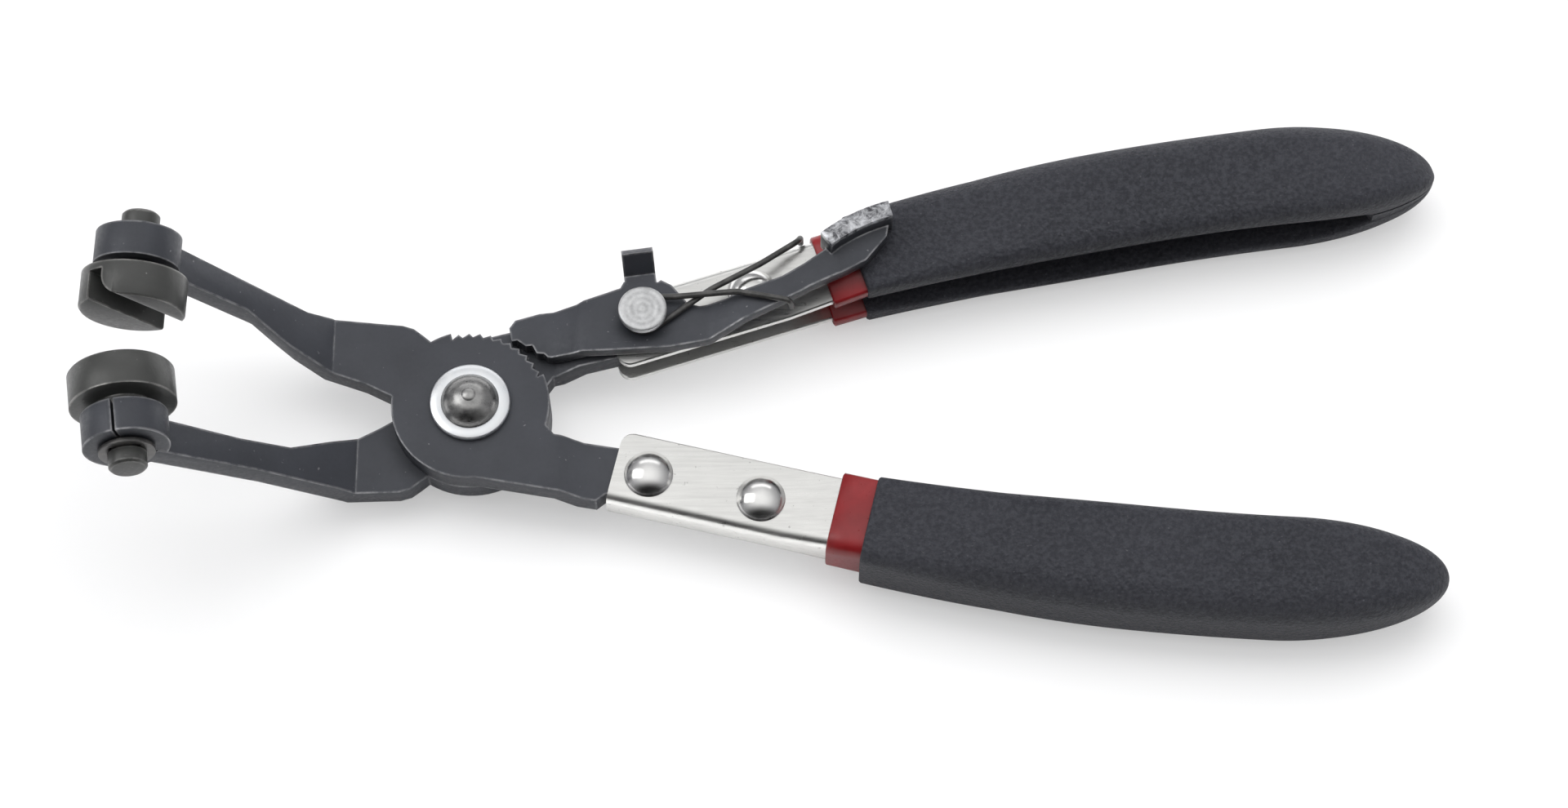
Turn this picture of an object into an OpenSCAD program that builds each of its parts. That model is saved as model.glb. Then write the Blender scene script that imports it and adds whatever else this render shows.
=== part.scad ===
// Swivel-jaw hose clamp pliers with a 45 degree offset nose, a toothed joint plate and a sprung lock lever.
// +Z is up with the pliers lying down, +X runs from the jaws to the grips.
// The origin is on the pivot axis, at the flat tail face of the pivot rivet.

/* [Levers] */
// Thickness of the two lever plates
plate_t = 4.5; // [3.5:0.1:5.5]
// Radius of the round joint plates
joint_r = 14; // [13:0.1:17]
// Distance from the pivot axis to the jaw eye along X
jaw_reach = 55.5; // [50:0.5:70]
// Distance from the middle plane out to each jaw eye
jaw_spread = 16.6; // [16:0.1:18]
// Bend of the nose out of the plane of the levers
nose_angle = 45; // [30:1:50]
// Width of the nose arm beside the eye
arm_w = 6.2; // [5:0.1:7]
// Lean of each jaw axis in the plane of the levers at rest
jaw_lean = 5.3; // [3:0.1:7]
// Difference between the leans of the two jaws
jaw_skew = 3; // [0:0.5:4]
// Cant of each jaw axis about X
jaw_cant = 3; // [0:0.5:3]

/* [Swivel jaws] */
// Diameter of the swivel jaw disc
disc_d = 18.2; // [15:0.1:19]
// Height of the swivel jaw disc
disc_h = 6.3; // [5.5:0.1:7]
// Outer diameter of the eye that carries a jaw
eye_d = 14.8; // [13:0.1:17]
// Height of the eye
eye_h = 6; // [5:0.1:7]
// Diameter of the jaw stem
stem_d = 6.6; // [5:0.1:7.5]
// Free length of the stem past the eye
stem_over = 4; // [3:0.1:6]
// Space between the eye and the disc
neck_gap = 1.8; // [1:0.1:2.5]
// Width of the clamp slot in the jaw
slot_w = 2.9; // [2:0.1:4]
// Depth of the clamp slot in the jaw
slot_depth = 5; // [3:0.1:5.5]
// Turn of the upper jaw slot away from straight up
slot_turn = 37; // [0:1:90]

/* [Pivot] */
// Diameter of the pivot rivet shank
pivot_d = 8; // [6:0.1:9]
// Diameter of the domed pivot head
pivot_head_d = 10.2; // [9.5:0.1:12]
// Height of the domed pivot head
pivot_head_h = 3.2; // [2:0.1:4]
// Outer diameter of the pivot washers
washer_d = 14.2; // [12:0.1:17]
// Thickness of the pivot washers
washer_t = 1.2; // [0.8:0.1:1.6]

/* [Ratchet] */
// Outer radius of the ratchet teeth on the front lever
tooth_r = 13.5; // [13:0.1:14]
// Depth of the ratchet teeth
tooth_depth = 0.7; // [0.4:0.05:0.9]
// Angle from one ratchet tooth to the next
tooth_pitch = 8.2; // [7:0.1:10]
// Number of ratchet teeth
tooth_count = 10; // [6:1:11]
// Thickness of the lock lever
pawl_t = 2.5; // [2:0.1:3]
// Wire diameter of the lock spring
wire_d = 1.1; // [0.8:0.1:1.4]
// Height of the thumb pad on the lock lever
pad_h = 3.6; // [2:0.1:6]
// Height of the finger tab on the lock lever
tab_h = 10; // [6:0.1:11]

/* [Handles] */
// Sheet thickness of the handle channels
sheet_t = 1.5; // [1:0.1:2]
// Height of the handle channels at the rivets
channel_h = 13.2; // [12.5:0.1:15]
// Distance between the two rivets of a handle
rivet_span = 20.2; // [18:0.1:24]
// Diameter of the handle rivet shanks
rivet_d = 5; // [4:0.1:5.6]
// Diameter of the handle rivet heads
rivet_head_d = 8.6; // [7:0.1:9.2]
// Extra opening of the upper handle against the lower one
upper_splay = 5; // [3:0.1:6]
// Length of each grip
grip_len = 100.7; // [90:0.1:115]
// Extra length of the upper grip
upper_longer = 5.5; // [0:0.5:8]
// Greatest height of each grip
grip_h = 19.8; // [18:0.1:23]
// Greatest thickness of each grip
grip_t = 18; // [17:0.1:22]
// Thickness of the red sleeve
sleeve_t = 0.9; // [0.6:0.1:1]
// Length of red sleeve left showing
sleeve_show = 6.3; // [4:0.1:10]

/* [Hidden] */
$fn = 64;
run_fit = 0.05;
side_gap = 0.3;
mid_z = grip_t / 2;
pivot_tail_h = mid_z - plate_t - washer_t;
steel = "#4a4b4e";
bright = "#c9c7c1";
vinyl = "#3b3c41";
red = "#9c2f2f";

// Places on the lower lever, in plan; the upper ones are mirrored and splayed.
handle_x = 31.6;
handle_y = -13.1;
handle_tilt = -13.1;
joggle_start = joint_r + 1.5;
joggle_end = joggle_start + 4;
front_bend = 25.5;
nose_rise = tan(nose_angle);
eye_z = plate_t / 2 + (jaw_reach - front_bend) * nose_rise;
rear_bend = jaw_reach - (eye_z + plate_t / 2) / nose_rise;
ring_mid = (eye_d + stem_d) / 4;

// ---- shared helpers ----

// Corner of a bent strip, offset to one side by h, where the headings before and after are a and b.
function mitre(p, a, b, h) =
    let (m = (a + b) / 2)
    p + h / cos((b - a) / 2) * [-sin(m), cos(m)];

function heading(p, q) = atan2(q[1] - p[1], q[0] - p[0]);

// One side of a bent strip along a path.
function strip_side(path, h) = [
    for (i = [0 : len(path) - 1])
        let (
            before = heading(path[max(i - 1, 0)], path[max(i, 1)]),
            after = heading(path[min(i, len(path) - 2)], path[min(i + 1, len(path) - 1)])
        )
        mitre(path[i], before, after, h)
];

function backwards(list) = [for (i = [len(list) - 1 : -1 : 0]) list[i]];

// A strip of thickness t bent along a path in the XZ plane, wide enough in Y to be trimmed by an outline.
module bent_strip(path, t) {
    rotate([90, 0, 0])
        linear_extrude(height = 120, center = true)
            polygon(concat(strip_side(path, t / 2), backwards(strip_side(path, -t / 2))));
}

// Lays children drawn on the middle plane of the tool at their height above the tail face.
module at_mid() {
    translate([0, 0, mid_z]) children();
}

// Frame of a handle: x along it from the first rivet, y towards the other handle.
module at_handle(upper) {
    $extra = upper ? upper_longer : 0;
    rotate([0, 0, upper ? upper_splay : 0])
        mirror([0, upper ? 1 : 0, 0])
            translate([handle_x, handle_y, 0])
                rotate([0, 0, handle_tilt])
                    children();
}

// Frame of a jaw: centre of the eye, z towards the mouth, y away from the viewer's side.
module at_jaw(upper) {
    mirror([0, upper ? 0 : 1, 0])
        translate([-jaw_reach, jaw_spread, eye_z])
            rotate([0, 0, upper ? jaw_skew - jaw_lean : -jaw_skew - jaw_lean])
                rotate([90 + jaw_cant, 0, 0])
                    children();
}

// ---- levers ----

// Plan of the nose arm and the shoulder beside the joint.
module nose_plan(upper) {
    arm_end = -jaw_reach + ring_mid * cos(nose_angle) - 3;
    outer_end = jaw_spread + arm_w / 2 + 0.2;
    inner = upper ? [[-18.7, 3.8], [-31.4, 8.2], [-34.2, 9.7]] : [[-16.3, 2.9], [-24.3, 7.1], [-30.5, 10.7]];
    outer = upper ? [[-29, 15.7], [-25, 16.2]] : [[-36, 16.8], [-22.6, 15.3]];
    polygon(concat(
        [[0, 0], [-joint_r + 0.5, 1.2]],
        inner,
        [[-38.3, outer_end - arm_w - 1.6], [arm_end, outer_end - arm_w], [arm_end, outer_end]],
        outer,
        [[-12.5, 15], [-10.5, 14.4], [-8.8, 13.1], [-7, 11.6]]
    ));
}

// Plan of the tail that the handle channel holds, in the handle frame.
module tail_plan() {
    seat = -channel_h / 2 + 0.35 + sheet_t + 0.1;
    polygon([
        [-34, 4], [-31, -7.8], [-28, -7.6], [-8, -6.4], [-6.6, seat],
        [rivet_span + 7, seat], [rivet_span + 7, seat + 9], [-6, 4.2], [-18, 3.4], [-22, 6.5]
    ]);
}

module lever_plan(upper) {
    circle(r = joint_r);
    mirror([0, upper ? 0 : 1, 0]) nose_plan(upper);
    rotate([0, 0, upper ? 0 : upper_splay])
        mirror([0, upper ? 0 : 1, 0])
            translate([handle_x, handle_y])
                rotate(handle_tilt)
                    tail_plan();
}

// Cuts the toothed arc into the rim: a clearance ring with saw teeth left standing.
module ratchet_cut() {
    first = 24;
    last = first + tooth_pitch * tooth_count;
    root = tooth_r - tooth_depth;
    difference() {
        polygon(concat(
            [for (a = [first : 4 : last]) (joint_r + 3) * [cos(a), sin(a)]],
            [(joint_r + 3) * [cos(last), sin(last)]],
            [for (i = [tooth_count - 1 : -1 : 0], s = [1, 0])
                let (a = first + tooth_pitch * (i + (s == 1 ? 1 : 0.35)))
                (s == 1 ? root : tooth_r) * [cos(a), sin(a)]],
            [root * [cos(first), sin(first)]]
        ));
        polygon([[0, 0], [-20, 16], [-20, 26], [-9.2, 26], [-8.8, 13.1], [-7, 11.6]]);
    }
}

module jaw_eye(upper) {
    at_jaw(upper) cylinder(d = eye_d, h = eye_h, center = true);
}

module jaw_eye_cuts(upper) {
    slit_w = 0.5;
    at_jaw(upper) {
        cylinder(d = stem_d + 2 * run_fit, h = eye_h + 2, center = true);
        // Seam where the hook of the eye closes, on the upper side of the lower jaw and hidden below on the other.
        rotate([0, 0, upper ? 180 : 8])
            translate([-slit_w / 2, 0, -eye_h])
                cube([slit_w, eye_d, 2 * eye_h]);
    }
}

module lever(upper) {
    // The upper jaw belongs to the front lever, whose tail runs to the lower handle.
    sign = upper ? 1 : -1;
    path = [
        [-jaw_reach + ring_mid * cos(nose_angle), eye_z - ring_mid * sin(nose_angle)],
        [-(upper ? front_bend : rear_bend), sign * plate_t / 2],
        [joggle_start, sign * plate_t / 2],
        [joggle_end, 0],
        [joggle_end + 60, 0]
    ];
    difference() {
        union() {
            intersection() {
                bent_strip(path, upper ? plate_t : plate_t - 2 * run_fit);
                translate([0, 0, -plate_t - 5]) linear_extrude(height = eye_z + 40) lever_plan(upper);
            }
            jaw_eye(upper);
        }
        jaw_eye_cuts(upper);
        cylinder(d = pivot_d + 2 * run_fit, h = 4 * plate_t, center = true);
        at_handle(!upper)
            for (x = [0, rivet_span])
                translate([x, 0, 0]) cylinder(d = rivet_d, h = 4 * plate_t, center = true);
    }
}

module front_lever() {
    color(steel) at_mid() difference() {
        lever(true);
        translate([0, 0, -1]) linear_extrude(height = plate_t + 2) ratchet_cut();
    }
}

module rear_lever() {
    color(steel) at_mid() lever(false);
}

// ---- pivot ----

module pivot_rivet() {
    head_r = pivot_head_d / 2;
    stack = 2 * (plate_t + washer_t);
    dome_r = (head_r * head_r + pivot_head_h * pivot_head_h) / (2 * pivot_head_h);
    color("#6a6862") union() {
        cylinder(r1 = head_r - 0.4, r2 = head_r, h = pivot_tail_h - 1);
        translate([0, 0, pivot_tail_h - 1]) cylinder(r = head_r, h = 1);
        cylinder(d = pivot_d, h = pivot_tail_h + stack + 0.5);
        translate([0, 0, pivot_tail_h + stack]) intersection() {
            cylinder(r = head_r, h = pivot_head_h);
            translate([0, 0, pivot_head_h - dome_r]) sphere(r = dome_r, $fn = 96);
        }
        translate([0, 0, pivot_tail_h + stack + pivot_head_h - 0.4])
            cylinder(r1 = 1.5, r2 = 0.9, h = 0.8);
    }
}

module washer(d, bore, t) {
    difference() {
        cylinder(d = d, h = t);
        translate([0, 0, -1]) cylinder(d = bore, h = t + 2);
    }
}

module pivot_washer_front() {
    color("#d9d9d6") at_mid() translate([0, 0, plate_t]) washer(washer_d, pivot_d + 2 * run_fit, washer_t);
}

module pivot_washer_rear() {
    color("#d9d9d6") at_mid() translate([0, 0, -plate_t - washer_t])
        washer(washer_d, pivot_d + 2 * run_fit, washer_t);
}

// ---- swivel jaws ----

clip_t = 0.8;
clip_d = 9.6;
groove_d = stem_d - 1.2;
groove_gap = 0.1;

module clamp_slot() {
    round_r = slot_depth - 1;
    linear_extrude(height = disc_d + 2, center = true)
        polygon(concat(
            [[-slot_w / 2, 1], [-slot_w / 2, -slot_depth], [slot_w / 2, -slot_depth]],
            [for (a = [180 : -10 : 90]) [slot_w / 2 + round_r * (1 + cos(a)), round_r * (sin(a) - 1)]],
            [[slot_w / 2 + round_r, 1]]
        ));
}

// Blind pocket for the clamp ear in the lower jaw.
module clamp_pocket() {
    w = slot_w + 0.4;
    reach = (disc_d - 6.5 - w) / 2;
    translate([0, 0, -slot_depth + 1]) {
        translate([-reach, -w / 2, 0]) cube([2 * reach, w, slot_depth]);
        for (s = [-1, 1]) translate([s * reach, 0, 0]) cylinder(d = w, h = slot_depth);
    }
}

module jaw(upper) {
    face = eye_h / 2 + neck_gap + disc_h;
    groove_at = -eye_h / 2 - side_gap - clip_t - groove_gap;
    at_jaw(upper) difference() {
        union() {
            translate([0, 0, -eye_h / 2 - stem_over]) {
                cylinder(d1 = stem_d - 0.8, d2 = stem_d, h = 0.4);
                translate([0, 0, 0.4]) cylinder(d = stem_d, h = stem_over + eye_h + neck_gap);
            }
            translate([0, 0, eye_h / 2 + side_gap]) cylinder(d = stem_d + 3, h = neck_gap);
            translate([0, 0, face - disc_h]) cylinder(d = disc_d, h = disc_h - 0.4);
            translate([0, 0, face - 0.4]) cylinder(d1 = disc_d, d2 = disc_d - 0.6, h = 0.4);
        }
        translate([0, 0, groove_at]) washer(stem_d + 2, groove_d, clip_t + 2 * groove_gap);
        translate([0, 0, face])
            if (upper) rotate([0, 0, slot_turn]) rotate([90, 0, 0]) clamp_slot();
            else clamp_pocket();
    }
}

module upper_jaw() {
    color("#45463f") at_mid() jaw(true);
}

module lower_jaw() {
    color("#45463f") at_mid() jaw(false);
}

// Open retaining ring with three bearing tongues.
module jaw_clip(upper) {
    at_jaw(upper) translate([0, 0, -eye_h / 2 - side_gap - clip_t]) difference() {
        cylinder(d = clip_d, h = clip_t);
        translate([0, 0, -1]) cylinder(d = groove_d + 0.02, h = clip_t + 2);
        for (a = [50, 130]) rotate([0, 0, a]) translate([groove_d / 2, 0, -1]) cylinder(d = 2, h = clip_t + 2);
        translate([-groove_d * 0.42, -clip_d, -1]) cube([groove_d * 0.84, clip_d, clip_t + 2]);
    }
}

module upper_jaw_clip() {
    color("#3d3c38") at_mid() jaw_clip(true);
}

module lower_jaw_clip() {
    color("#3d3c38") at_mid() jaw_clip(false);
}

// ---- handles ----

grip_start = rivet_span + 19.4;
$extra = 0;
channel_start = -6.2;
flare_start = rivet_span + 5;
// Ends along the handle; $extra is set for the handle being drawn.
function grip_end() = grip_start + grip_len + $extra;
function cap_start() = grip_end() - 28.3;
function channel_end() = grip_end() - 18.3;
neck_half_h = 8;
neck_half_t = 7.2;
shell_out = 2.2;
lip = 1.3;
inner_skin = 0.3;
sleeve_fit = 0.05;
fold = plate_t / 2 + sheet_t;

// Rise from 0 to 1 over a length, eased out.
function ease(u) = sin(90 * max(0, min(1, u)));
function cap(x) = x < cap_start() ? 1 : sqrt(max(0, 1 - pow((x - cap_start()) / (grip_end() - cap_start()), 2)));
// Middle line, half height and half thickness of the grip at x along the handle.
function bow(x) = let (d = max(0, x - 35)) 0.0175 * d + 0.001036 * d * d - 0.3;
function grip_hh(x) = cap(x) * (neck_half_h + (grip_h / 2 - neck_half_h) * ease((x - grip_start) / 50));
function grip_ht(x) = cap(x) * (neck_half_t + (grip_t / 2 - neck_half_t) * ease((x - grip_start) / 45));
function grip_out(x) = bow(x) - grip_hh(x);
function grip_in(x) = bow(x) + grip_hh(x);
function mix(a, b, u) = a + (b - a) * max(0, min(1, u));
// Outer face, free edge and half width of the steel channel at x.
function ch_u(x) = (x - flare_start) / (grip_start - flare_start);
function ch_out(x) = x < grip_start ? mix(0.35 - channel_h / 2, grip_out(grip_start) + shell_out, ch_u(x))
                                    : grip_out(x) + shell_out;
function ch_in(x) = x < grip_start ? mix(0.35 + channel_h / 2, grip_in(grip_start) - lip, ch_u(x))
                                   : grip_in(x) - lip;
function ch_hw(x) = x < grip_start ? mix(fold, grip_ht(grip_start) - shell_out, ch_u(x))
                                   : grip_ht(x) - shell_out;

// Stations along the channel, run past both ends by over.
function channel_x(over) = concat(
    [channel_start - over, flare_start],
    [for (i = [0 : 10]) grip_start + (channel_end() - grip_start) * i / 11],
    [channel_end() + over]
);

// Side view of the channel between two offsets, then its plan, both cut from the same stations.
module channel_side(low, high, over) {
    xs = channel_x(over);
    polygon(concat(
        [for (x = xs) [x, ch_out(x) + low]],
        [for (x = backwards(xs)) [x, ch_in(x) + high]]
    ));
}

module channel_width(grow, over) {
    xs = channel_x(over);
    polygon(concat(
        [for (x = xs) [x, -ch_hw(x) - grow]],
        [for (x = backwards(xs)) [x, ch_hw(x) + grow]]
    ));
}

module channel_block(low, high, grow, over) {
    intersection() {
        linear_extrude(height = 60, center = true) channel_side(low, high, over);
        rotate([-90, 0, 0]) linear_extrude(height = 120, center = true) channel_width(grow, over);
    }
}

module channel() {
    corner = 2.2;
    difference() {
        channel_block(0, 0, 0, 0);
        channel_block(sheet_t, 6, -sheet_t, 1);
        // Rounded front corner of the free edges.
        translate([channel_start, ch_in(channel_start), 0]) difference() {
            cube([2 * corner, 2 * corner, 40], center = true);
            translate([corner, -corner, 0]) cylinder(r = corner, h = 50, center = true);
        }
        for (x = [0, rivet_span]) translate([x, 0, 0]) cylinder(d = rivet_d, h = 40, center = true);
    }
}

module upper_handle() {
    color(bright) at_mid() at_handle(true) channel();
}

module lower_handle() {
    color(bright) at_mid() at_handle(false) channel();
}

// Rivet with a domed head in front and a low flat tail behind.
module dome_rivet(hw) {
    dome_h = 2.4;
    head_r = rivet_head_d / 2;
    dome_r = (head_r * head_r + dome_h * dome_h) / (2 * dome_h);
    cylinder(d = rivet_d, h = 2 * hw, center = true);
    translate([0, 0, hw]) intersection() {
        cylinder(r = head_r, h = dome_h);
        translate([0, 0, dome_h - dome_r]) sphere(r = dome_r, $fn = 96);
    }
    translate([0, 0, -hw - 1.2]) cylinder(d = rivet_head_d - 0.8, h = 1.2);
}

module upper_handle_rivet() {
    color(bright) at_mid() at_handle(true) translate([rivet_span, 0, 0]) dome_rivet(ch_hw(rivet_span));
}

module lower_handle_rivets() {
    color(bright) at_mid() at_handle(false)
        for (x = [0, rivet_span]) translate([x, 0, 0]) dome_rivet(ch_hw(x));
}

// ---- grips and sleeves: swept U sections ----

// Faces between successive rings of n points.
function skin_faces(first, rings, n, flip) = [
    for (i = [0 : rings - 2], j = [0 : n - 1])
        let (
            k = (j + 1) % n,
            a = first + i * n + j,
            b = first + i * n + k,
            c = first + (i + 1) * n + k,
            d = first + (i + 1) * n + j
        )
        flip ? [d, c, b, a] : [a, b, c, d]
];

// Channel section at x, grown by g on its outer side and by s on its inner side: eight corners.
function channel_ring(x, g, s) =
    let (w = ch_hw(x), o = ch_out(x), i = ch_in(x), v = w - sheet_t - s, f = o + sheet_t + s)
    [
        [x, o - g, -w - g], [x, o - g, w + g], [x, i + g, w + g], [x, i + g, v],
        [x, f, v], [x, f, -v], [x, i + g, -v], [x, i + g, -w - g]
    ];

sleeve_start = grip_start - sleeve_show;
sleeve_end = grip_start + 5;

module sleeve() {
    n = 8;
    xs = [sleeve_start, grip_start, sleeve_end];
    rings = len(xs);
    outer = [for (x = xs) each channel_ring(x, sleeve_t, inner_skin)];
    inner = [for (x = xs) each channel_ring(x, sleeve_fit, sleeve_fit)];
    last = (rings - 1) * n;
    far = rings * n;
    polyhedron(
        points = concat(outer, inner),
        faces = concat(
            skin_faces(0, rings, n, false),
            skin_faces(far, rings, n, true),
            [for (j = [0 : n - 1]) let (k = (j + 1) % n) [far + j, far + k, k, j]],
            [for (j = [0 : n - 1]) let (k = (j + 1) % n) [last + j, last + k, far + last + k, far + last + j]]
        ),
        convexity = 8
    );
}

// Half of the grip section, from the middle of the back round the lip to the middle of the hollow.
function grip_half(x) =
    let (
        t = grip_ht(x), o = grip_out(x), i = grip_in(x),
        past = x - grip_start,
        r = min(5.5, 2.5 + 0.12 * past, t * 0.75, (i - o) * 0.3),
        wall = min(4.2, t * 0.6),
        lip_r = min(wall * 0.45, 1.2 + 0.05 * past),
        u = max(0, 1 - pow(max(0, x - grip_start - 20) / (grip_len + $extra - 34), 4)),
        v = max((t - wall), 0.2) * (0.35 + 0.65 * sqrt(u)),
        f = mix(i - 0.05, o + 4.2, sqrt(u)),
        v2 = min(v, t - 2 * lip_r - 0.05)
    )
    concat(
        [for (a = [90 : -22.5 : 0]) [x, o + r - r * sin(a), t - r + r * cos(a)]],
        [for (a = [0, 45, 90]) [x, i - lip_r + lip_r * sin(a), t - lip_r + lip_r * cos(a)]],
        [[x, i, v2 + 0.3], [x, mix(i, f, 0.15), v2], [x, f, v2 * 0.9]]
    );

function grip_ring(x) = concat(
    grip_half(x),
    [for (p = backwards(grip_half(x))) [p[0], p[1], -p[2]]]
);

module grip() {
    bed = 0.02;
    n = len(grip_ring(grip_start));
    xs = concat(
        [grip_start - 1],
        [for (i = [1 : 16]) grip_start + (cap_start() - grip_start) * i / 16],
        [for (i = [1 : 7]) cap_start() + (grip_end() - cap_start()) * sin(90 * i / 7.6)]
    );
    rings = len(xs);
    // The bed of the steel channel and the sleeve is cut afterwards, so the body is one closed skin.
    difference() {
        polyhedron(
            points = [for (x = xs) each grip_ring(x)],
            faces = concat(
                skin_faces(0, rings, n, false),
                [[for (j = [n - 1 : -1 : 0]) j]],
                [[for (j = [0 : n - 1]) (rings - 1) * n + j]]
            ),
            convexity = 8
        );
        grip_bed(bed);
        translate([grip_start - 5, -30, -30]) cube([5, 60, 60]);
    }
}

// Space for the channel and for the hidden end of the sleeve.
module grip_bed(bed) {
    difference() {
        channel_block(-bed, bed, bed, bed);
        channel_block(sheet_t + bed, 6, -sheet_t - bed, 1);
    }
    intersection() {
        channel_block(-sleeve_t - bed, sleeve_t + bed, sleeve_t + bed, 0);
        translate([grip_start - 3, -30, -30]) cube([8 + bed, 60, 60]);
    }
}

module upper_sleeve() {
    color(red) at_mid() at_handle(true) sleeve();
}

module lower_sleeve() {
    color(red) at_mid() at_handle(false) sleeve();
}

module upper_grip() {
    color(vinyl) at_mid() at_handle(true) grip();
}

module lower_grip() {
    color(vinyl) at_mid() at_handle(false) grip();
}

// ---- lock lever ----

pawl_z = fold + side_gap;
head_z = 0.8;
step_z = fold + 2.4 + 0.6;
end_z = 8.3;
coil_z = pawl_z + pawl_t + side_gap;
cap_z = coil_z + wire_d + 0.7;
cap_t = 1.3;
cap_washer_t = 0.5;
tab_root = 22.6;

// Centre of the lock lever rivet in plan.
function upper_point(p) =
    let (a = handle_tilt, b = upper_splay,
         q = [handle_x + p[0] * cos(a) - p[1] * sin(a), -handle_y - p[0] * sin(a) - p[1] * cos(a)])
    [q[0] * cos(b) - q[1] * sin(b), q[0] * sin(b) + q[1] * cos(b)];
lock_at = upper_point([0, 0]);

module lock_plan() {
    polygon([
        [6.4, 15], [6.9, 12.5], [7.9, 12.7], [9.4, 11.6], [10.6, 11.7], [11.4, 10.2], [12.7, 10.1], [13.4, 9.4],
        [17.8, 9.2], [23.6, 9.4], [35.1, 10.1], [42.3, 11.5], [47.8, 14.2], [53, 16.9],
        [60, 20.6], [65.5, 22.6], [69.9, 25], [73.6, 29.7], [74.2, 33.5], [68.2, 31.1],
        [62.8, 27.5], [55, 22.6], [45.2, 18.8], [40.3, 17.9], [38.3, 18.4], [35.3, 22],
        [33.4, 23], [32.9, tab_root], [26.8, tab_root], [26.2, 21.4], [18.4, 18.5], [11.7, 17.8], [7.4, 16.5]
    ]);
}

module lock_lever() {
    bend = 2.6;
    color(steel) at_mid() difference() {
        union() {
            intersection() {
                bent_strip([
                    [0, head_z + pawl_t / 2], [joggle_start - 1, head_z + pawl_t / 2],
                    [joggle_end + 0.5, pawl_z + pawl_t / 2], [42, pawl_z + pawl_t / 2],
                    [48.5, step_z + pawl_t / 2], [59, step_z + pawl_t / 2],
                    [65, end_z + pawl_t / 2], [90, end_z + pawl_t / 2]
                ], pawl_t);
                linear_extrude(height = 30) lock_plan();
            }
            lock_tab(bend);
            thumb_pad();
        }
        translate([lock_at[0], lock_at[1], 0]) cylinder(d = rivet_d + 2 * run_fit, h = 40, center = true);
    }
}

// Finger tab: up from the edge of the lever, then leaning towards the user.
module lock_tab(bend) {
    lean = 40;
    translate([29.9, tab_root - 0.6, pawl_z]) rotate([0, 0, 8]) rotate([90, 0, 90])
        linear_extrude(height = 5.6, center = true)
            polygon([
                [0, 0], [bend, 0], [bend + tab_h * sin(lean) * 0.5, tab_h * cos(lean) * 0.7],
                [bend + tab_h * sin(lean) * 0.5 - pawl_t * cos(lean) * 0.8,
                 tab_h * cos(lean) * 0.7 + pawl_t * sin(lean)],
                [bend - 0.6, pawl_t], [0, pawl_t]
            ]);
}

// Thumb pad: a curved flange standing up from the outer edge of the lever's end.
module thumb_pad() {
    pad_t = 3;
    radius = 31;
    first = 105.5;
    sweep = 24;
    reach = 60;
    translate([82.5, 3.6, end_z]) difference() {
        intersection() {
            cylinder(r = radius + pad_t / 2, h = pawl_t + pad_h, $fn = 96);
            translate([0, 0, -1]) linear_extrude(height = 30)
                polygon([
                    [0, 0], reach * [cos(first), sin(first)],
                    reach * [cos(first + sweep), sin(first + sweep)]
                ]);
        }
        translate([0, 0, -1]) cylinder(r = radius - pad_t / 2, h = 40, $fn = 96);
    }
}

// Flat-headed rivet that carries the lock lever and fixes the front of the upper channel.
module lock_lever_rivet() {
    color(bright) at_mid() translate([lock_at[0], lock_at[1], 0]) {
        translate([0, 0, -fold]) cylinder(d = rivet_d, h = fold + cap_z + cap_washer_t + 0.2);
        translate([0, 0, cap_z + cap_washer_t]) cylinder(d = rivet_head_d, h = cap_t - 0.3);
        translate([0, 0, cap_z + cap_washer_t + cap_t - 0.3])
            cylinder(d1 = rivet_head_d, d2 = rivet_head_d - 0.6, h = 0.3);
        translate([0, 0, -fold - 1.2]) cylinder(d = rivet_head_d - 0.8, h = 1.2);
    }
}

module lock_lever_washer() {
    color(bright) at_mid() translate([lock_at[0], lock_at[1], cap_z])
        washer(rivet_head_d - 0.4, rivet_d + 2 * run_fit, cap_washer_t);
}

// ---- lock spring ----

wire_fn = 8;

function unit(v) = v / norm(v);
function travel(pts, i) = unit(pts[min(i + 1, len(pts) - 1)] - pts[max(i - 1, 0)]);
function wire_ring(pts, i, r) =
    let (d = travel(pts, i), side = unit(cross(d, abs(d[2]) > 0.9 ? [1, 0, 0] : [0, 0, 1])), up = cross(side, d))
    [for (j = [0 : wire_fn - 1]) pts[i] + r * (cos(360 * j / wire_fn) * side + sin(360 * j / wire_fn) * up)];

module wire(pts, r) {
    n = len(pts);
    polyhedron(
        points = [for (i = [0 : n - 1]) each wire_ring(pts, i, r)],
        faces = concat(
            skin_faces(0, n, wire_fn, false),
            [[for (j = [wire_fn - 1 : -1 : 0]) j]],
            [[for (j = [0 : wire_fn - 1]) (n - 1) * wire_fn + j]]
        ),
        convexity = 6
    );
}

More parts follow.
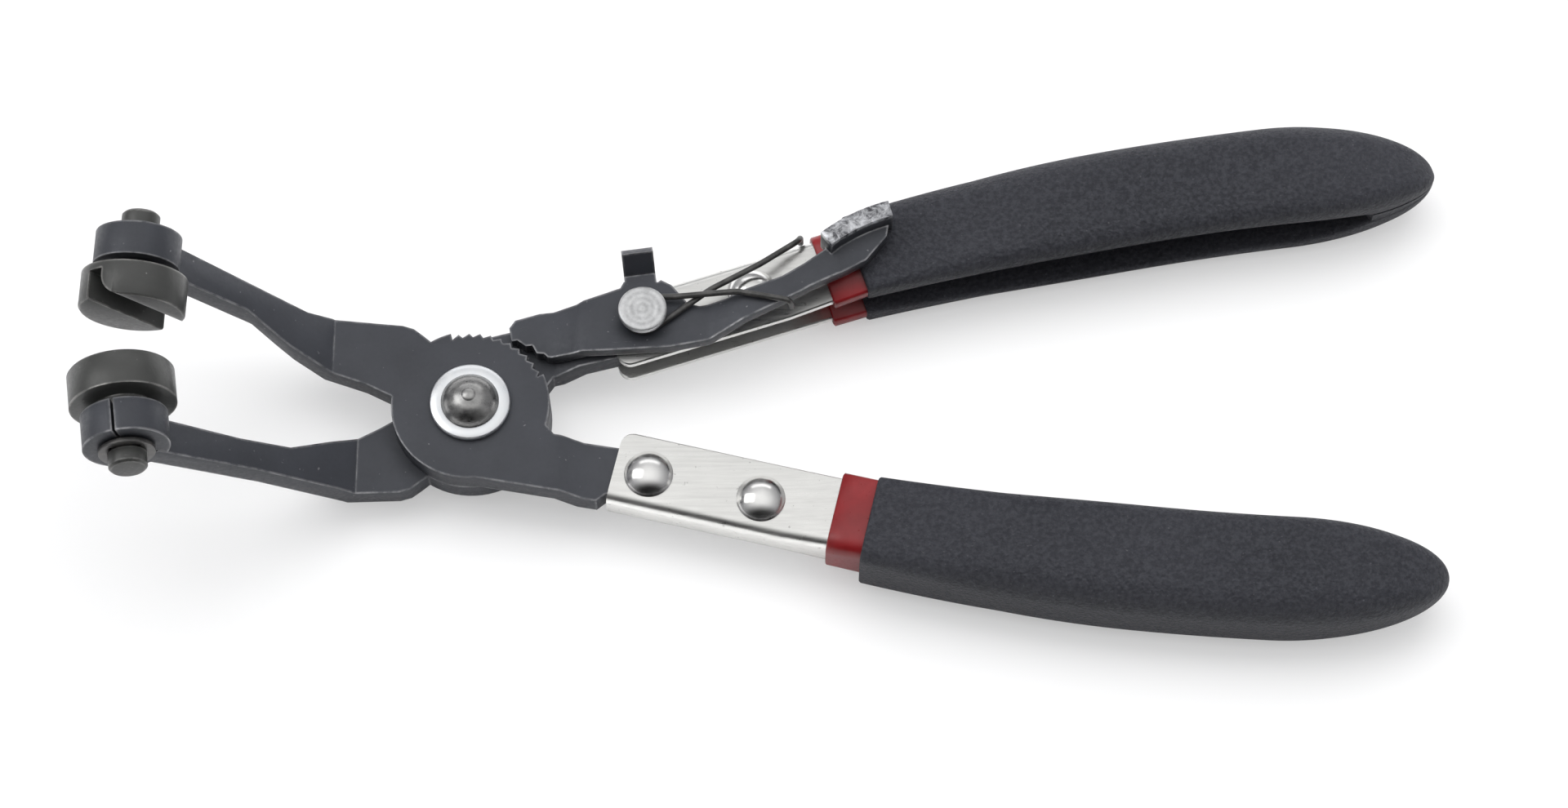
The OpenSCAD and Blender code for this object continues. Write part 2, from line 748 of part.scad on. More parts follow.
module lock_spring() {
    coil_r = rivet_d / 2 + 0.25 + wire_d / 2;
    low = coil_z + wire_d / 2;
    high = low + 0.6;
    over_step = step_z + pawl_t + side_gap + wire_d / 2;
    first_turn = -45;
    last_turn = 80;
    web_x = sleeve_start - 1.6;
    web_y = ch_out(web_x);
    web = upper_point([web_x, web_y - side_gap - wire_d / 2]);
    brow = upper_point([web_x - 1, web_y + 0.4]);
    edge = [56.4, 18.3 - side_gap - wire_d / 2];
    // From the back of the handle, under the crossing arm, round the rivet and out to the lever's lower edge.
    color("#2e2e2f") at_mid() wire(concat(
        [[web[0], web[1], 2], [web[0], web[1], 4.4], [brow[0], brow[1], fold + 2.3],
         [51, 25.8, low - 0.2], [42.3, 20.8, low]],
        [for (i = [0 : 16]) let (a = first_turn - i * (360 + first_turn - last_turn) / 16)
            [lock_at[0] + coil_r * cos(a), lock_at[1] + coil_r * sin(a), low + (high - low) * i / 16]],
        [[36, 19.1, high], [47, 19.2, over_step], [edge[0] - 0.6, edge[1] + 0.2, over_step],
         [edge[0], edge[1], over_step - 0.6], [edge[0] + 0.3, edge[1], step_z + 0.6]]
    ), wire_d / 2);
}

front_lever();
rear_lever();
pivot_rivet();
pivot_washer_front();
pivot_washer_rear();
upper_jaw();
lower_jaw();
upper_jaw_clip();
lower_jaw_clip();
upper_handle();
lower_handle();
upper_handle_rivet();
lower_handle_rivets();
upper_sleeve();
lower_sleeve();
upper_grip();
lower_grip();
lock_lever();
lock_lever_rivet();
lock_lever_washer();
lock_spring();
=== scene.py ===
import bmesh
import bpy
import math
from math import cos, sin, radians, sqrt, pi
from mathutils import Matrix, Vector


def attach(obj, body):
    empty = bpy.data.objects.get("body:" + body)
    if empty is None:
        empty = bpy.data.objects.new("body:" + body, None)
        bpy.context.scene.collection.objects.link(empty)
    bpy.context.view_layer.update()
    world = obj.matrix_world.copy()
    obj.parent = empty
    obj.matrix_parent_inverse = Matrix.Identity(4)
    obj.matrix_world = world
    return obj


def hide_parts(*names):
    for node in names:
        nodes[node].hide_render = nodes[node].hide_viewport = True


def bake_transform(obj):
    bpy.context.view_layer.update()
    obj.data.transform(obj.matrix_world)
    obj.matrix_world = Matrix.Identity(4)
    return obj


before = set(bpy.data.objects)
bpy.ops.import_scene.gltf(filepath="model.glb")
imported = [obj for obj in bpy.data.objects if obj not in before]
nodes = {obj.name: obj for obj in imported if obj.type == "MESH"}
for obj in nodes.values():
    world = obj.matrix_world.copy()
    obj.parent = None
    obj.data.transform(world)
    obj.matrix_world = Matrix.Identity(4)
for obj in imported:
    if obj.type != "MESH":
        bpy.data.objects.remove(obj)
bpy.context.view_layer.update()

MM = 0.001

# ---------------------------------------------------------------- sizes in mm, as in the part's source
PLATE_T = 4.5
WASHER_T = 1.2
WASHER_D = 14.2
GRIP_T = 18.0
MID_Z = GRIP_T / 2
TAIL_H = MID_Z - PLATE_T - WASHER_T
SHEET_T = 1.5
CHANNEL_H = 13.2
RIVET_SPAN = 20.2
RIVET_D = 5.0
RIVET_HEAD_D = 8.6
RIVET_DOME_H = 2.4
RIVET_TAIL_H = 1.2
PIVOT_SHANK_R = 4
PIVOT_HEAD_R = 5.1
PIVOT_DOME_H = 3.2
PIVOT_BORE_R = 4.05
SPLAY = 5.0
GRIP_LEN = 100.7
GRIP_H = 19.8
UPPER_LONGER = 5.5
HANDLE_X, HANDLE_Y, HANDLE_TILT = 31.6, -13.1, -13.1
GRIP_START = RIVET_SPAN + 19.4
FLARE_START = RIVET_SPAN + 5
CHANNEL_START = -6.2
CHANNEL_MID = 0.35
CHANNEL_SHORT = 18.3
BEND_OUT, BEND_IN = 2.1, 0.65
CAP_LEN = 28.3
BOW_START, BOW_SLOPE, BOW_CURVE, BOW_DROP = 35, 0.0175, 0.001036, 0.3
NECK_H, NECK_T = 8.0, 7.2
SHELL_OUT, LIP = 2.2, 1.3
FOLD = PLATE_T / 2 + SHEET_T
SLEEVE_T, SLEEVE_SHOW = 0.9, 6.3
GAP = 0.3
PAWL_T = 2.5
PAWL_Z = FOLD + GAP
STEP_Z = FOLD + 3.0
END_Z = 8.3
WIRE_D = 1.1
WIRE_LIFT = 0.6
LOCK_WASHER_T = 0.5
LOCK_HEAD_T = 1.3


def ease(u):
    return sin(pi / 2 * max(0.0, min(1.0, u)))


def mix(a, b, u):
    return a + (b - a) * max(0.0, min(1.0, u))


class Handle:
    """Frame and shape of one handle: x along it from its first rivet, y towards the other handle."""

    def __init__(self, upper):
        self.end = GRIP_START + GRIP_LEN + (UPPER_LONGER if upper else 0)
        self.cap_at = self.end - CAP_LEN
        self.channel_end = self.end - CHANNEL_SHORT
        m = Matrix.Rotation(radians(SPLAY if upper else 0), 4, "Z")
        if upper:
            m = m @ Matrix.Diagonal((1, -1, 1, 1))
        m = m @ Matrix.Translation((HANDLE_X, HANDLE_Y, 0)) @ Matrix.Rotation(radians(HANDLE_TILT), 4, "Z")
        self.m = Matrix.Translation((0, 0, MID_Z)) @ m

    def at(self, p):
        return (self.m @ Vector(p)) * MM

    def cap(self, x):
        if x < self.cap_at:
            return 1.0
        return sqrt(max(0.0, 1 - ((x - self.cap_at) / (self.end - self.cap_at)) ** 2))

    def bow(self, x):
        d = max(0.0, x - BOW_START)
        return BOW_SLOPE * d + BOW_CURVE * d * d - BOW_DROP

    def hh(self, x):
        return self.cap(x) * (NECK_H + (GRIP_H / 2 - NECK_H) * ease((x - GRIP_START) / 50))

    def ht(self, x):
        return self.cap(x) * (NECK_T + (GRIP_T / 2 - NECK_T) * ease((x - GRIP_START) / 45))

    def out(self, x):
        return self.bow(x) - self.hh(x)

    def inn(self, x):
        return self.bow(x) + self.hh(x)

    def flare(self, x, plain, shape, wall):
        """A channel edge at x: plain before the flare, and wall inside the grip's shape from its start on."""
        if x >= GRIP_START:
            return shape(x) + wall
        return mix(plain, shape(GRIP_START) + wall, (x - FLARE_START) / (GRIP_START - FLARE_START))

    def ch_out(self, x):
        return self.flare(x, CHANNEL_MID - CHANNEL_H / 2, self.out, SHELL_OUT)

    def ch_in(self, x):
        return self.flare(x, CHANNEL_MID + CHANNEL_H / 2, self.inn, -LIP)

    def ch_hw(self, x):
        return self.flare(x, FOLD, self.ht, -SHELL_OUT)


LOWER, UPPER = Handle(False), Handle(True)


# ---------------------------------------------------------------- mesh helpers
def build(name, verts, faces, mat, sharp=35.0):
    mesh = bpy.data.meshes.new(name)
    mesh.from_pydata([tuple(v) for v in verts], [], [tuple(f) for f in faces])
    mesh.validate()
    bm = bmesh.new()
    bm.from_mesh(mesh)
    bmesh.ops.remove_doubles(bm, verts=bm.verts, dist=2e-7)
    bmesh.ops.recalc_face_normals(bm, faces=bm.faces)
    bm.to_mesh(mesh)
    bm.free()
    for p in mesh.polygons:
        p.use_smooth = True
    mesh.set_sharp_from_angle(angle=radians(sharp))
    mesh.materials.append(mat)
    obj = bpy.data.objects.new(name, mesh)
    bpy.context.scene.collection.objects.link(obj)
    return obj


def loft(rings, loop=False):
    """Faces through rings of equal length. The first and last are capped, or joined when loop is set."""
    n = len(rings[0])
    verts = [p for r in rings for p in r]
    faces = []
    k = len(rings)
    for i in range(k if loop else k - 1):
        a, b = i * n, ((i + 1) % k) * n
        for j in range(n):
            q = (j + 1) % n
            faces.append((a + j, a + q, b + q, b + j))
    if not loop:
        faces.append(tuple(reversed(range(n))))
        faces.append(tuple((k - 1) * n + j for j in range(n)))
    return verts, faces


def turn(n):
    return [2 * pi * j / n for j in range(n)]


def lathe(profile, place, n):
    """Turns (radius, height) pairs in mm about z; place maps a point in mm to the frame."""
    rings = []
    for r, h in profile:
        r = max(r, 0.002)
        rings.append([place((r * cos(a), r * sin(a), h)) for a in turn(n)])
    return loft(rings)


def join(*parts):
    verts, faces = [], []
    for v, f in parts:
        base = len(verts)
        verts += list(v)
        faces += [tuple(base + i for i in q) for q in f]
    return verts, faces


def arc(cx, cy, r, a0, a1, n):
    angles = [radians(a0 + (a1 - a0) * i / n) for i in range(n + 1)]
    return [(cx + r * cos(a), cy + r * sin(a)) for a in angles]


# ---------------------------------------------------------------- materials
class Mat:
    """A node material with a few shorthands. A value is a number, a colour tuple or a socket."""

    def __init__(self, name):
        self.mat = bpy.data.materials.new(name)
        self.mat.use_nodes = True
        self.t = self.mat.node_tree
        self.n = self.t.nodes
        self.n.clear()
        self.out = self.n.new("ShaderNodeOutputMaterial")
        self.bsdf = self.n.new("ShaderNodeBsdfPrincipled")
        self.t.links.new(self.bsdf.outputs[0], self.out.inputs[0])
        self.co = self.n.new("ShaderNodeTexCoord").outputs["Object"]

    def link(self, a, b):
        self.t.links.new(a, b)

    def put(self, value, socket):
        if isinstance(value, tuple):
            socket.default_value = (*value, 1)
        elif isinstance(value, (int, float)):
            socket.default_value = value
        else:
            self.link(value, socket)

    def mapped(self, scale, rot):
        m = self.n.new("ShaderNodeMapping")
        m.inputs["Scale"].default_value = scale
        m.inputs["Rotation"].default_value = rot
        self.link(self.co, m.inputs["Vector"])
        return m.outputs[0]

    def noise(self, scale, detail=4.0, rough=0.55, vec=None, dist=0.0):
        t = self.n.new("ShaderNodeTexNoise")
        t.inputs["Scale"].default_value = scale
        t.inputs["Detail"].default_value = detail
        t.inputs["Roughness"].default_value = rough
        t.inputs["Distortion"].default_value = dist
        self.link(vec or self.co, t.inputs["Vector"])
        return t.outputs["Fac"]

    def voronoi(self, scale):
        t = self.n.new("ShaderNodeTexVoronoi")
        t.inputs["Scale"].default_value = scale
        self.link(self.co, t.inputs["Vector"])
        return t.outputs["Distance"]

    def ramp(self, fac, a, b, va, vb):
        """Maps fac from a..b to va..vb, clamped."""
        r = self.n.new("ShaderNodeMapRange")
        r.inputs["From Min"].default_value = a
        r.inputs["From Max"].default_value = b
        r.inputs["To Min"].default_value = va
        r.inputs["To Max"].default_value = vb
        self.link(fac, r.inputs["Value"])
        return r.outputs[0]

    def math(self, op, a, b=None):
        m = self.n.new("ShaderNodeMath")
        m.operation = op
        self.put(a, m.inputs[0])
        if b is not None:
            self.put(b, m.inputs[1])
        return m.outputs[0]

    def mixcol(self, fac, a, b):
        m = self.n.new("ShaderNodeMix")
        m.data_type = "RGBA"
        self.link(fac, m.inputs[0])
        self.put(a, m.inputs[6])
        self.put(b, m.inputs[7])
        return m.outputs[2]

    def mixval(self, fac, a, b):
        m = self.n.new("ShaderNodeMix")
        self.link(fac, m.inputs[0])
        self.put(a, m.inputs[2])
        self.put(b, m.inputs[3])
        return m.outputs[0]

    def xyz(self):
        s = self.n.new("ShaderNodeSeparateXYZ")
        self.link(self.co, s.inputs[0])
        return s.outputs

    def set(self, **k):
        names = dict(base="Base Color", metal="Metallic", rough="Roughness", spec="Specular IOR Level",
                     coat="Coat Weight", coat_rough="Coat Roughness")
        for key, v in k.items():
            self.put(v, self.bsdf.inputs[names[key]])

    def bump(self, height, strength, dist):
        b = self.n.new("ShaderNodeBump")
        self.put(strength, b.inputs["Strength"])
        b.inputs["Distance"].default_value = dist
        self.link(height, b.inputs["Height"])
        self.link(b.outputs[0], self.bsdf.inputs["Normal"])

    def edge(self, radius, a, b):
        """1 near sharp edges, 0 on flats."""
        bev = self.n.new("ShaderNodeBevel")
        bev.samples = 6
        bev.inputs["Radius"].default_value = radius
        geo = self.n.new("ShaderNodeNewGeometry")
        d = self.n.new("ShaderNodeVectorMath")
        d.operation = "DOT_PRODUCT"
        self.link(bev.outputs[0], d.inputs[0])
        self.link(geo.outputs["Normal"], d.inputs[1])
        return self.ramp(self.math("SUBTRACT", 1.0, d.outputs["Value"]), a, b, 0.0, 1.0)


def black_steel(name, tone=(0.043, 0.046, 0.055), bare_and_highlight_tone=(0.30, 0.30, 0.31), rough=0.46, pad=False):
    m = Mat(name)
    big = m.noise(70, 5, 0.6)
    fine = m.noise(1400, 3, 0.6)
    long_marks = m.noise(90, 6, 0.75, m.mapped((1, 9, 9), (0, 0, 0.6)))
    scratch = m.ramp(long_marks, 0.685, 0.74, 0.0, 0.40)
    nick = m.ramp(m.noise(1100, 2, 0.5), 0.72, 0.78, 0.0, 0.55)
    patchy = m.ramp(m.noise(420, 4, 0.6), 0.36, 0.58, 0.15, 1.0)
    edge_wear_and_highlight = m.math("MULTIPLY", m.edge(0.0006, 0.001, 0.035), patchy)
    # Bare metal shows at scratches, nicks and worn edges. The light band along sharp edges is partly edge
    # wear and partly a painted edge highlight.
    mask = m.math("MAXIMUM", m.math("MAXIMUM", scratch, nick), edge_wear_and_highlight)
    dark = tuple(0.86 * c for c in tone)
    lite = tuple(1.14 * c for c in tone)
    col = m.mixcol(m.ramp(big, 0.3, 0.7, 0, 1), dark, lite)
    col = m.mixcol(mask, col, bare_and_highlight_tone)
    rgh = m.ramp(fine, 0.3, 0.7, rough - 0.07, rough + 0.08)
    rgh = m.mixval(mask, rgh, 0.33)
    metal = m.mixval(mask, 0.25, 0.85)
    if pad:
        # The top of the thumb pad is bare hammered metal.
        x, _, z = m.xyz()
        pad_low = (MID_Z + END_Z + PAWL_T + 2.2) * MM
        pad_top = (MID_Z + END_Z + PAWL_T + 2.9) * MM
        on_top = m.ramp(z, pad_low, pad_top, 0.0, 1.0)
        bright = m.math("MULTIPLY", on_top, m.ramp(x, 0.0600, 0.0605, 0.0, 1.0))
        hammer = m.noise(620, 5, 0.72, None, 0.6)
        bare = m.mixcol(m.ramp(hammer, 0.38, 0.62, 0, 1), (0.10, 0.10, 0.11), (0.74, 0.75, 0.78))
        col = m.mixcol(bright, col, bare)
        rgh = m.mixval(bright, rgh, 0.32)
        metal = m.mixval(bright, metal, 1.0)
        m.bump(m.mixval(bright, fine, hammer), m.ramp(bright, 0, 1, 0.18, 0.9), 0.00012)
    else:
        m.bump(fine, 0.3, 0.0001)
    m.set(base=col, rough=rgh, metal=metal, spec=0.5)
    return m.mat


def nickel(name, angle):
    m = Mat(name)
    streak = m.noise(60, 6, 0.7, m.mapped((1, 26, 26), (0, 0, -radians(angle))))
    big = m.noise(45, 4, 0.5)
    tone = m.mixcol(m.ramp(big, 0.3, 0.7, 0, 1), (0.80, 0.797, 0.775), (0.93, 0.927, 0.90))
    tone = m.mixcol(m.ramp(streak, 0.40, 0.80, 0, 0.28), tone, (0.40, 0.397, 0.385))
    specks = m.ramp(m.noise(900, 3, 0.7), 0.66, 0.72, 0, 0.5)
    tone = m.mixcol(specks, tone, (0.30, 0.29, 0.28))
    rgh = m.ramp(streak, 0.3, 0.7, 0.24, 0.42)
    m.set(base=tone, metal=1.0, rough=rgh)
    m.bump(m.noise(420, 4, 0.6), 0.10, 0.0001)
    return m.mat


def bright_metal(name, a, b, ra, rb, scale=350, bump=0.1, metal=1.0):
    m = Mat(name)
    n = m.noise(scale, 5, 0.65)
    m.set(base=m.mixcol(m.ramp(n, 0.3, 0.7, 0, 1), a, b), metal=metal, rough=m.ramp(n, 0.3, 0.7, ra, rb))
    m.bump(n, bump, 0.0001)
    return m.mat


def spun(name, centre, a, b, rough, rings=2600):
    """Bright metal with fine turned rings about an axis along z."""
    m = Mat(name)
    x, y, _ = m.xyz()
    dx = m.math("SUBTRACT", x, centre[0] * MM)
    dy = m.math("SUBTRACT", y, centre[1] * MM)
    square = m.math("ADD", m.math("MULTIPLY", dx, dx), m.math("MULTIPLY", dy, dy))
    r = m.math("SQRT", square)
    wave = m.math("SINE", m.math("MULTIPLY", r, rings * 2.2))
    mottled = m.noise(500, 4, 0.7)
    mixf = m.math("ADD", m.ramp(wave, -1, 1, 0, 0.35), m.ramp(mottled, 0.35, 0.65, 0, 0.65))
    m.set(base=m.mixcol(mixf, a, b), metal=1.0, rough=m.ramp(mottled, 0.3, 0.7, rough, rough + 0.14))
    m.bump(m.math("ADD", m.math("MULTIPLY", wave, 0.4), mottled), 0.22, 0.0001)
    return m.mat


def grip_vinyl(name):
    m = Mat(name)
    grain = m.voronoi(1500)
    fine = m.noise(2600, 4, 0.7)
    soft = m.noise(38, 4, 0.55)
    dust = m.ramp(m.noise(1900, 2, 0.5), 0.70, 0.76, 0.0, 0.55)
    col = m.mixcol(m.ramp(soft, 0.3, 0.7, 0, 1), (0.015, 0.016, 0.022), (0.024, 0.025, 0.033))
    speck = m.noise(1250, 3, 0.6)
    col = m.mixcol(m.ramp(speck, 0.40, 0.62, 0.0, 0.55), col, (0.050, 0.052, 0.063))
    col = m.mixcol(dust, col, (0.12, 0.12, 0.13))
    height = m.math("ADD", m.math("MULTIPLY", grain, 0.7), m.math("ADD", fine, speck))
    m.set(base=col, rough=m.ramp(fine, 0.3, 0.7, 0.48, 0.66), spec=0.45)
    m.bump(height, 1.0, 0.00022)
    return m.mat


def red_vinyl(name):
    m = Mat(name)
    n = m.noise(160, 4, 0.6)
    fine = m.noise(1500, 3, 0.6)
    m.set(base=m.mixcol(m.ramp(n, 0.3, 0.7, 0, 1), (0.175, 0.008, 0.010), (0.25, 0.013, 0.016)),
          rough=m.ramp(fine, 0.3, 0.7, 0.27, 0.40), spec=0.4, coat=0.12, coat_rough=0.25)
    m.bump(fine, 0.12, 0.0001)
    return m.mat


STEEL = black_steel("black_steel")
PAWL = black_steel("black_steel_lock", pad=True)
JAW = black_steel("jaw_steel", (0.052, 0.053, 0.051), (0.30, 0.295, 0.285), 0.36)
CLIP = bright_metal("clip_steel", (0.09, 0.09, 0.09), (0.16, 0.155, 0.15), 0.34, 0.5, metal=0.8)
ZINC = bright_metal("zinc", (0.90, 0.93, 0.96), (0.97, 0.98, 0.99), 0.26, 0.40, 500, 0.15)
NICKEL_LOW = nickel("nickel_lower", HANDLE_TILT)
NICKEL_UP = nickel("nickel_upper", -HANDLE_TILT + SPLAY)
DOME = bright_metal("nickel_rivet", (0.88, 0.875, 0.86), (0.97, 0.965, 0.95), 0.16, 0.28, 300, 0.06)
WIRE = bright_metal("spring_steel", (0.05, 0.05, 0.05), (0.12, 0.118, 0.115), 0.30, 0.45, 600, 0.1, 0.7)
RED = red_vinyl("red_vinyl")
GRIP = grip_vinyl("grip_vinyl")
lock_c = UPPER.at((0, 0, 0)) / MM
LOCKHEAD = spun("lock_rivet_head", (lock_c.x, lock_c.y), (0.50, 0.505, 0.51), (0.84, 0.845, 0.85), 0.40)
PIVOT = spun("pivot_steel", (0, 0), (0.27, 0.27, 0.268), (0.52, 0.515, 0.505), 0.24, 1500)


# ---------------------------------------------------------------- CAD nodes kept: material, weld, edge bevel
def dress(name, mat, width):
    o = nodes[name]
    o.data.materials.clear()
    o.data.materials.append(mat)
    w = o.modifiers.new("weld", "WELD")
    w.merge_threshold = 1e-6
    b = o.modifiers.new("bevel", "BEVEL")
    b.width = width * MM
    b.segments = 2
    b.limit_method = "ANGLE"
    b.angle_limit = radians(38)
    for p in o.data.polygons:
        p.use_smooth = True
    if "custom_normal" in o.data.attributes:
        o.data.attributes.remove(o.data.attributes["custom_normal"])
    o.data.set_sharp_from_angle(angle=radians(30))


dress("front_lever", STEEL, 0.22)
dress("rear_lever", STEEL, 0.22)
dress("lock_lever", PAWL, 0.2)
dress("upper_jaw", JAW, 0.18)
dress("lower_jaw", JAW, 0.18)
dress("upper_jaw_clip", CLIP, 0.08)
dress("lower_jaw_clip", CLIP, 0.08)


# ---------------------------------------------------------------- pieces rebuilt in finer detail
def add(name, geo, mat, body, *replaced, sharp=35.0):
    o = build(name, geo[0], geo[1], mat, sharp)
    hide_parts(*replaced)
    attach(o, body)


def flat(p):
    return Vector(p) * MM


def dome(r, height, base, last, n):
    """Points up a spherical cap of radius r at its base, to last degrees above its centre."""
    big = (r * r + height * height) / (2 * height)
    first = math.degrees(math.asin((big - height) / big))
    angles = [radians(first + (last - first) * i / n) for i in range(1, n + 1)]
    return [(big * cos(a), base + height - big + big * sin(a)) for a in angles]


# Pivot rivet: chamfered tail, shank, domed head with a small centre mark.
def pivot_profile():
    r = PIVOT_HEAD_R
    top = TAIL_H + 2 * (PLATE_T + WASHER_T)
    crown = top + PIVOT_DOME_H
    tail = [(0, 0), (r - 0.4, 0), (r - 0.1, 0.5), (r, TAIL_H - 1), (r, TAIL_H)]
    shank = [(PIVOT_SHANK_R, TAIL_H), (PIVOT_SHANK_R, top), (r - 0.12, top), (r, top + 0.12)]
    mark = [(1.25, crown + 0.02), (1.05, crown + 0.16), (0.8, crown + 0.28), (0, crown + 0.38)]
    return tail + shank + dome(r, PIVOT_DOME_H, top, 78, 16) + mark


add("pivot_rivet_turned", lathe(pivot_profile(), flat, 96), PIVOT, "front_half", "pivot_rivet", sharp=40)


def ring_washer(r0, r1, z0, z1, c):
    low = [(r0, z0 + c), (r0 + c, z0), (r1 - c, z0), (r1, z0 + c)]
    return low + [(r1, z1 - c), (r1 - c, z1), (r0 + c, z1), (r0, z1 - c)]


def ring_geo(profile, place):
    rings = [[place((r * cos(a), r * sin(a), h)) for r, h in profile] for a in turn(96)]
    return loft(rings, loop=True)


def pivot_washer(z):
    return ring_geo(ring_washer(PIVOT_BORE_R, WASHER_D / 2, z, z + WASHER_T, 0.22), flat)


add("pivot_washer_front_round", pivot_washer(MID_Z + PLATE_T), ZINC,
    "front_half", "pivot_washer_front", sharp=60)
add("pivot_washer_rear_round", pivot_washer(MID_Z - PLATE_T - WASHER_T), ZINC,
    "front_half", "pivot_washer_rear", sharp=60)


# Domed handle rivets.
def dome_profile(hw):
    r = RIVET_HEAD_D / 2
    t = r - 0.4
    end = -hw - RIVET_TAIL_H
    tail = [(0, end), (t - 0.3, end), (t, -hw - 0.9), (t, -hw)]
    shank = [(RIVET_D / 2, -hw), (RIVET_D / 2, hw), (r - 0.1, hw), (r, hw + 0.1)]
    return tail + shank + dome(r, RIVET_DOME_H, hw, 89.5, 18)


def dome_rivet(h, x):
    hw = h.ch_hw(x)
    return lathe(dome_profile(hw), lambda p: h.at((p[0] + x, p[1], p[2])), 72)


add("upper_handle_rivet_dome", dome_rivet(UPPER, RIVET_SPAN), DOME,
    "rear_half", "upper_handle_rivet", sharp=40)
add("lower_handle_rivets_dome", join(dome_rivet(LOWER, 0), dome_rivet(LOWER, RIVET_SPAN)), DOME,
    "front_half", "lower_handle_rivets", sharp=40)

# Lock lever rivet with its flat spun head, and the washer under it.
cap_z = PAWL_Z + PAWL_T + GAP + WIRE_D + 0.7
head_z = cap_z + LOCK_WASHER_T
cap_top = head_z + LOCK_HEAD_T
rr = RIVET_HEAD_D / 2
end_z = -FOLD - RIVET_TAIL_H
lock_tail = [(0, end_z), (rr - 0.7, end_z), (rr - 0.4, -FOLD - 0.9), (rr - 0.4, -FOLD)]
lock_shank = [(RIVET_D / 2, -FOLD), (RIVET_D / 2, head_z), (rr - 0.15, head_z), (rr, cap_z + 0.65)]
lock_head = [(rr, cap_top - 0.3), (rr - 0.1, cap_top - 0.12), (rr - 0.3, cap_top - 0.02), (rr - 0.6, cap_top),
             (2.2, cap_top - 0.05), (0, cap_top - 0.08)]
add("lock_lever_rivet_flat", lathe(lock_tail + lock_shank + lock_head, UPPER.at, 96), LOCKHEAD,
    "rear_half", "lock_lever_rivet", sharp=40)
add("lock_lever_washer_round", ring_geo(ring_washer(2.55, rr - 0.2, cap_z, head_z, 0.1), UPPER.at), ZINC,
    "rear_half", "lock_lever_washer", sharp=60)


# Folded channels: a U section with rounded bends and a rounded front corner on the free edges.
def channel_section(h, x, cut):
    w, o, i = h.ch_hw(x), h.ch_out(x), h.ch_in(x) - cut
    ro, ri, c, t = BEND_OUT, BEND_IN, 0.22, SHEET_T
    outer = [(i - c, w)] + arc(o + ro, w - ro, ro, 90, 180, 7)
    outer += arc(o + ro, -(w - ro), ro, 180, 270, 7) + [(i - c, -w)]
    lower_lip = [(i, -w + c), (i, -w + t - c), (i - c, -w + t)]
    inner = arc(o + t + ri, -(w - t - ri), ri, 270, 180, 4) + arc(o + t + ri, w - t - ri, ri, 180, 90, 4)
    upper_lip = [(i - c, w - t), (i, w - t + c), (i, w - c)]
    return [h.at((x, y, z)) for y, z in outer + lower_lip + inner + upper_lip]


def channel(h):
    r = 2.2
    quarter = [radians(a) for a in range(0, 91, 15)]
    corner = [(CHANNEL_START + r * (1 - cos(a)), r * (1 - sin(a))) for a in quarter]
    xs = [FLARE_START * 0.5, FLARE_START]
    xs += [FLARE_START + (GRIP_START - FLARE_START) * k / 4 for k in (1, 2, 3, 4)]
    xs += [GRIP_START + (h.channel_end - GRIP_START) * k / 22 for k in range(1, 23)]
    return loft([channel_section(h, x, cut) for x, cut in corner] + [channel_section(h, x, 0) for x in xs])


add("upper_handle_folded", channel(UPPER), NICKEL_UP, "rear_half", "upper_handle", sharp=38)
add("lower_handle_folded", channel(LOWER), NICKEL_LOW, "front_half", "lower_handle", sharp=38)


# Red sleeves: a thin skin that follows the channel, with soft corners.
def sleeve_section(h, x, g, s):
    """U ring grown by g outside and s inside the channel's sheet."""
    w, o, i = h.ch_hw(x), h.ch_out(x), h.ch_in(x)
    ro = BEND_OUT + g
    t = SHEET_T + s
    ri = max(0.35, BEND_IN - s)
    e = min(0.45, 0.5 * (SHEET_T + g + s) - 0.01)
    wide, back, lip = w + g, o - g, i + g
    v = w - t
    pts = [(lip - e, wide)] + arc(back + ro, wide - ro, ro, 90, 180, 7)
    pts += arc(back + ro, -(wide - ro), ro, 180, 270, 7) + [(lip - e, -wide)]
    pts += [(lip, -wide + e), (lip, -v - e), (lip - e, -v)]
    pts += arc(o + t + ri, -(v - ri), ri, 270, 180, 4) + arc(o + t + ri, v - ri, ri, 180, 90, 4)
    pts += [(lip - e, v), (lip, v + e), (lip, wide - e)]
    return [h.at((x, y, z)) for y, z in pts]


def sleeve(h):
    a, b = GRIP_START - SLEEVE_SHOW, GRIP_START + 5
    skin, fit = SLEEVE_T, 0.05
    outer = [(a, 0.45), (a + 0.08, 0.7), (a + 0.3, skin)]
    outer += [(GRIP_START - 3, skin), (GRIP_START, skin), (b, skin)]
    rings = [sleeve_section(h, x, g, 0.3) for x, g in outer]
    rings += [sleeve_section(h, x, fit, fit) for x in (b, GRIP_START, GRIP_START - 3, a)]
    return loft(rings, loop=True)


add("upper_sleeve_soft", sleeve(UPPER), RED, "rear_half", "upper_sleeve", sharp=50)
add("lower_sleeve_soft", sleeve(LOWER), RED, "front_half", "lower_sleeve", sharp=50)


